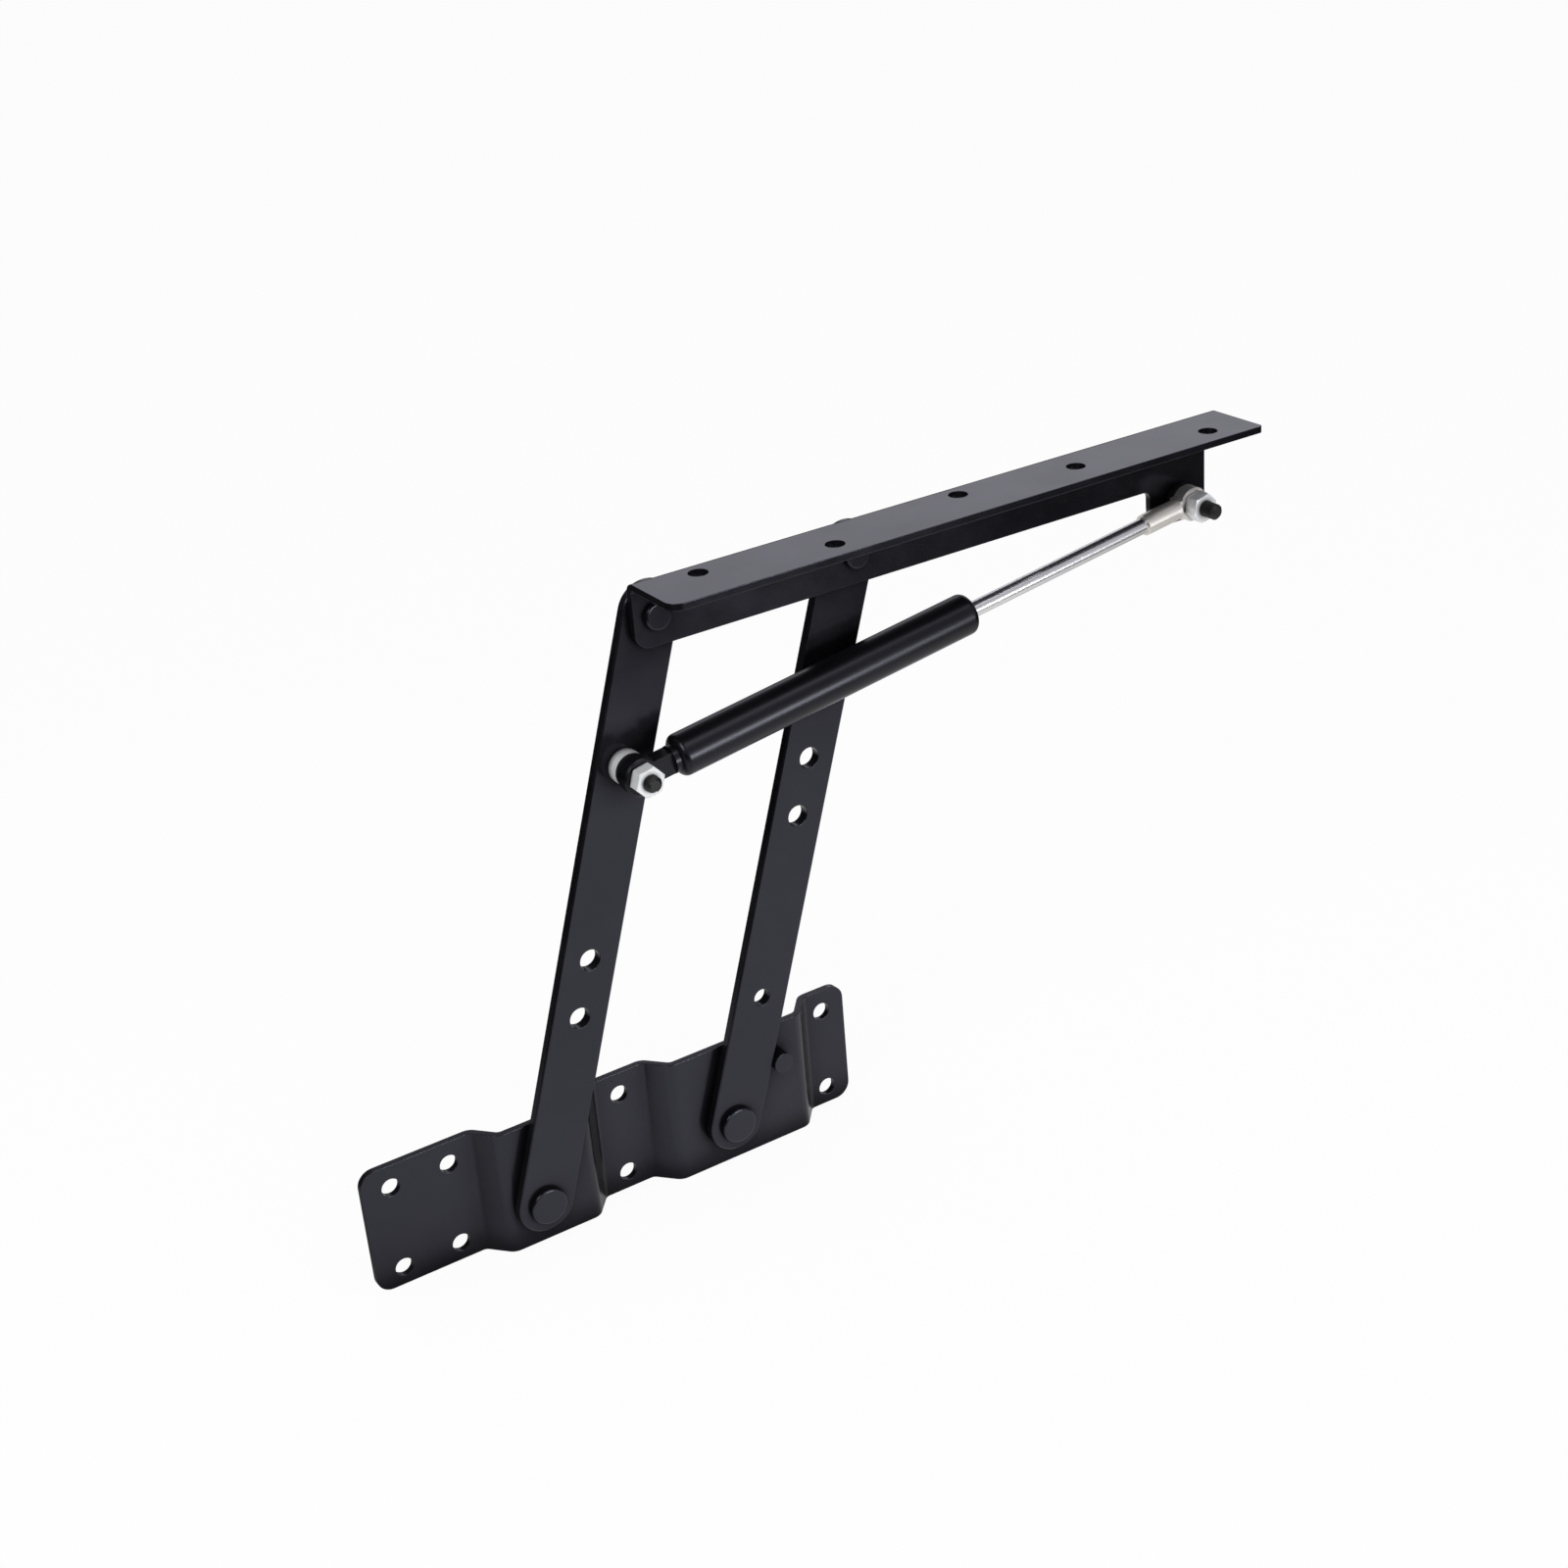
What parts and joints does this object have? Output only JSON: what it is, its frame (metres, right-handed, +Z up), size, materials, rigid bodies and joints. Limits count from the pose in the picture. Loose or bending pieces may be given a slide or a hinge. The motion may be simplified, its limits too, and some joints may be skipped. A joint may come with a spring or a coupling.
{
  "type": "lift top table mechanism",
  "caption": "Lift top table mechanism: a joggled wall plate, a pair of parallel swing arms and a drilled angle rail, pushed up by a gas strut.",
  "frame": {"origin": "centre of the left tab's four screw holes, on the wall face of the base plate", "axes": "+X along the base plate towards the strut's rod end, +Y into the panel the plate is screwed to, +Z up"},
  "size_m": [0.3753, 0.0469, 0.241],
  "materials": {
    "satin_black": "satin black powder coat",
    "gloss_black": "gloss black paint",
    "blackened_steel": "blackened steel",
    "zinc": "bright zinc plate",
    "warm_nickel": "plated, slightly warm",
    "chrome": "hard chrome, polished",
    "grey_polymer": "plain moulded",
    "brass": "turned",
    "rubber": "plain"
  },
  "bodies": {
    "base": {"base_plate": "satin_black", "left_base_rivet": "satin_black", "right_base_rivet": "satin_black", "left_base_washer": "grey_polymer", "right_base_washer": "grey_polymer", "stop_pin": "satin_black"},
    "left_link": {"left_arm": "satin_black", "left_top_rivet": "satin_black", "tail_stud": "blackened_steel", "tail_washer": "zinc", "tail_nut": "zinc"},
    "right_link": {"right_arm": "satin_black", "right_top_rivet": "satin_black"},
    "rail": {"top_rail": "satin_black", "left_top_washer": "grey_polymer", "right_top_washer": "grey_polymer", "ear_stud_root": "blackened_steel"},
    "strut_cylinder": {"strut_tube": "gloss_black", "tail_eye": "gloss_black", "rod_guide": "brass", "rod_seal": "rubber"},
    "strut_piston": {"piston_rod": "chrome", "piston": "warm_nickel", "piston_ring": "rubber", "rod_end_eye": "warm_nickel", "rod_stud": "blackened_steel", "rod_nut": "zinc"}
  },
  "joints": [
    {"name": "arm_fold", "type": "hinge", "parent": "base", "child": "left_link", "pos_m": [0.0405, 0, -0.006], "axis": [0, -1, 0], "range_deg": [0, 86], "stiffness_Nm_per_rad": 1, "springref_deg": -28.65},
    {"name": "right_arm_fold", "type": "hinge", "parent": "base", "child": "right_link", "pos_m": [0.121, 0, -0.006], "axis": [0, -1, 0], "range_deg": [-0.2, 86.2]},
    {"name": "rail_level", "type": "hinge", "parent": "left_link", "child": "rail", "pos_m": [0.10775, 0, 0.20347], "axis": [0, -1, 0], "range_deg": [-86.2, 0.2]},
    {"name": "strut_swing", "type": "hinge", "parent": "left_link", "child": "strut_cylinder", "pos_m": [0.09125, 0, 0.15205], "axis": [0, -1, 0], "range_deg": [-93.25, 0.2]},
    {"name": "rod_slide", "type": "slide", "parent": "strut_cylinder", "child": "strut_piston", "axis": [0.9903, 0, 0.1387], "range_m": [-0.06921, 0.0002]}
  ],
  "couplings": [
    {"joint": "right_arm_fold", "follows": "arm_fold", "ratio": 1},
    {"joint": "rail_level", "follows": "arm_fold", "ratio": -1},
    {"joint": "strut_swing", "follows": "arm_fold", "ratio": -1.082},
    {"joint": "rod_slide", "follows": "arm_fold", "m_per_rad": -0.045975}
  ]
}
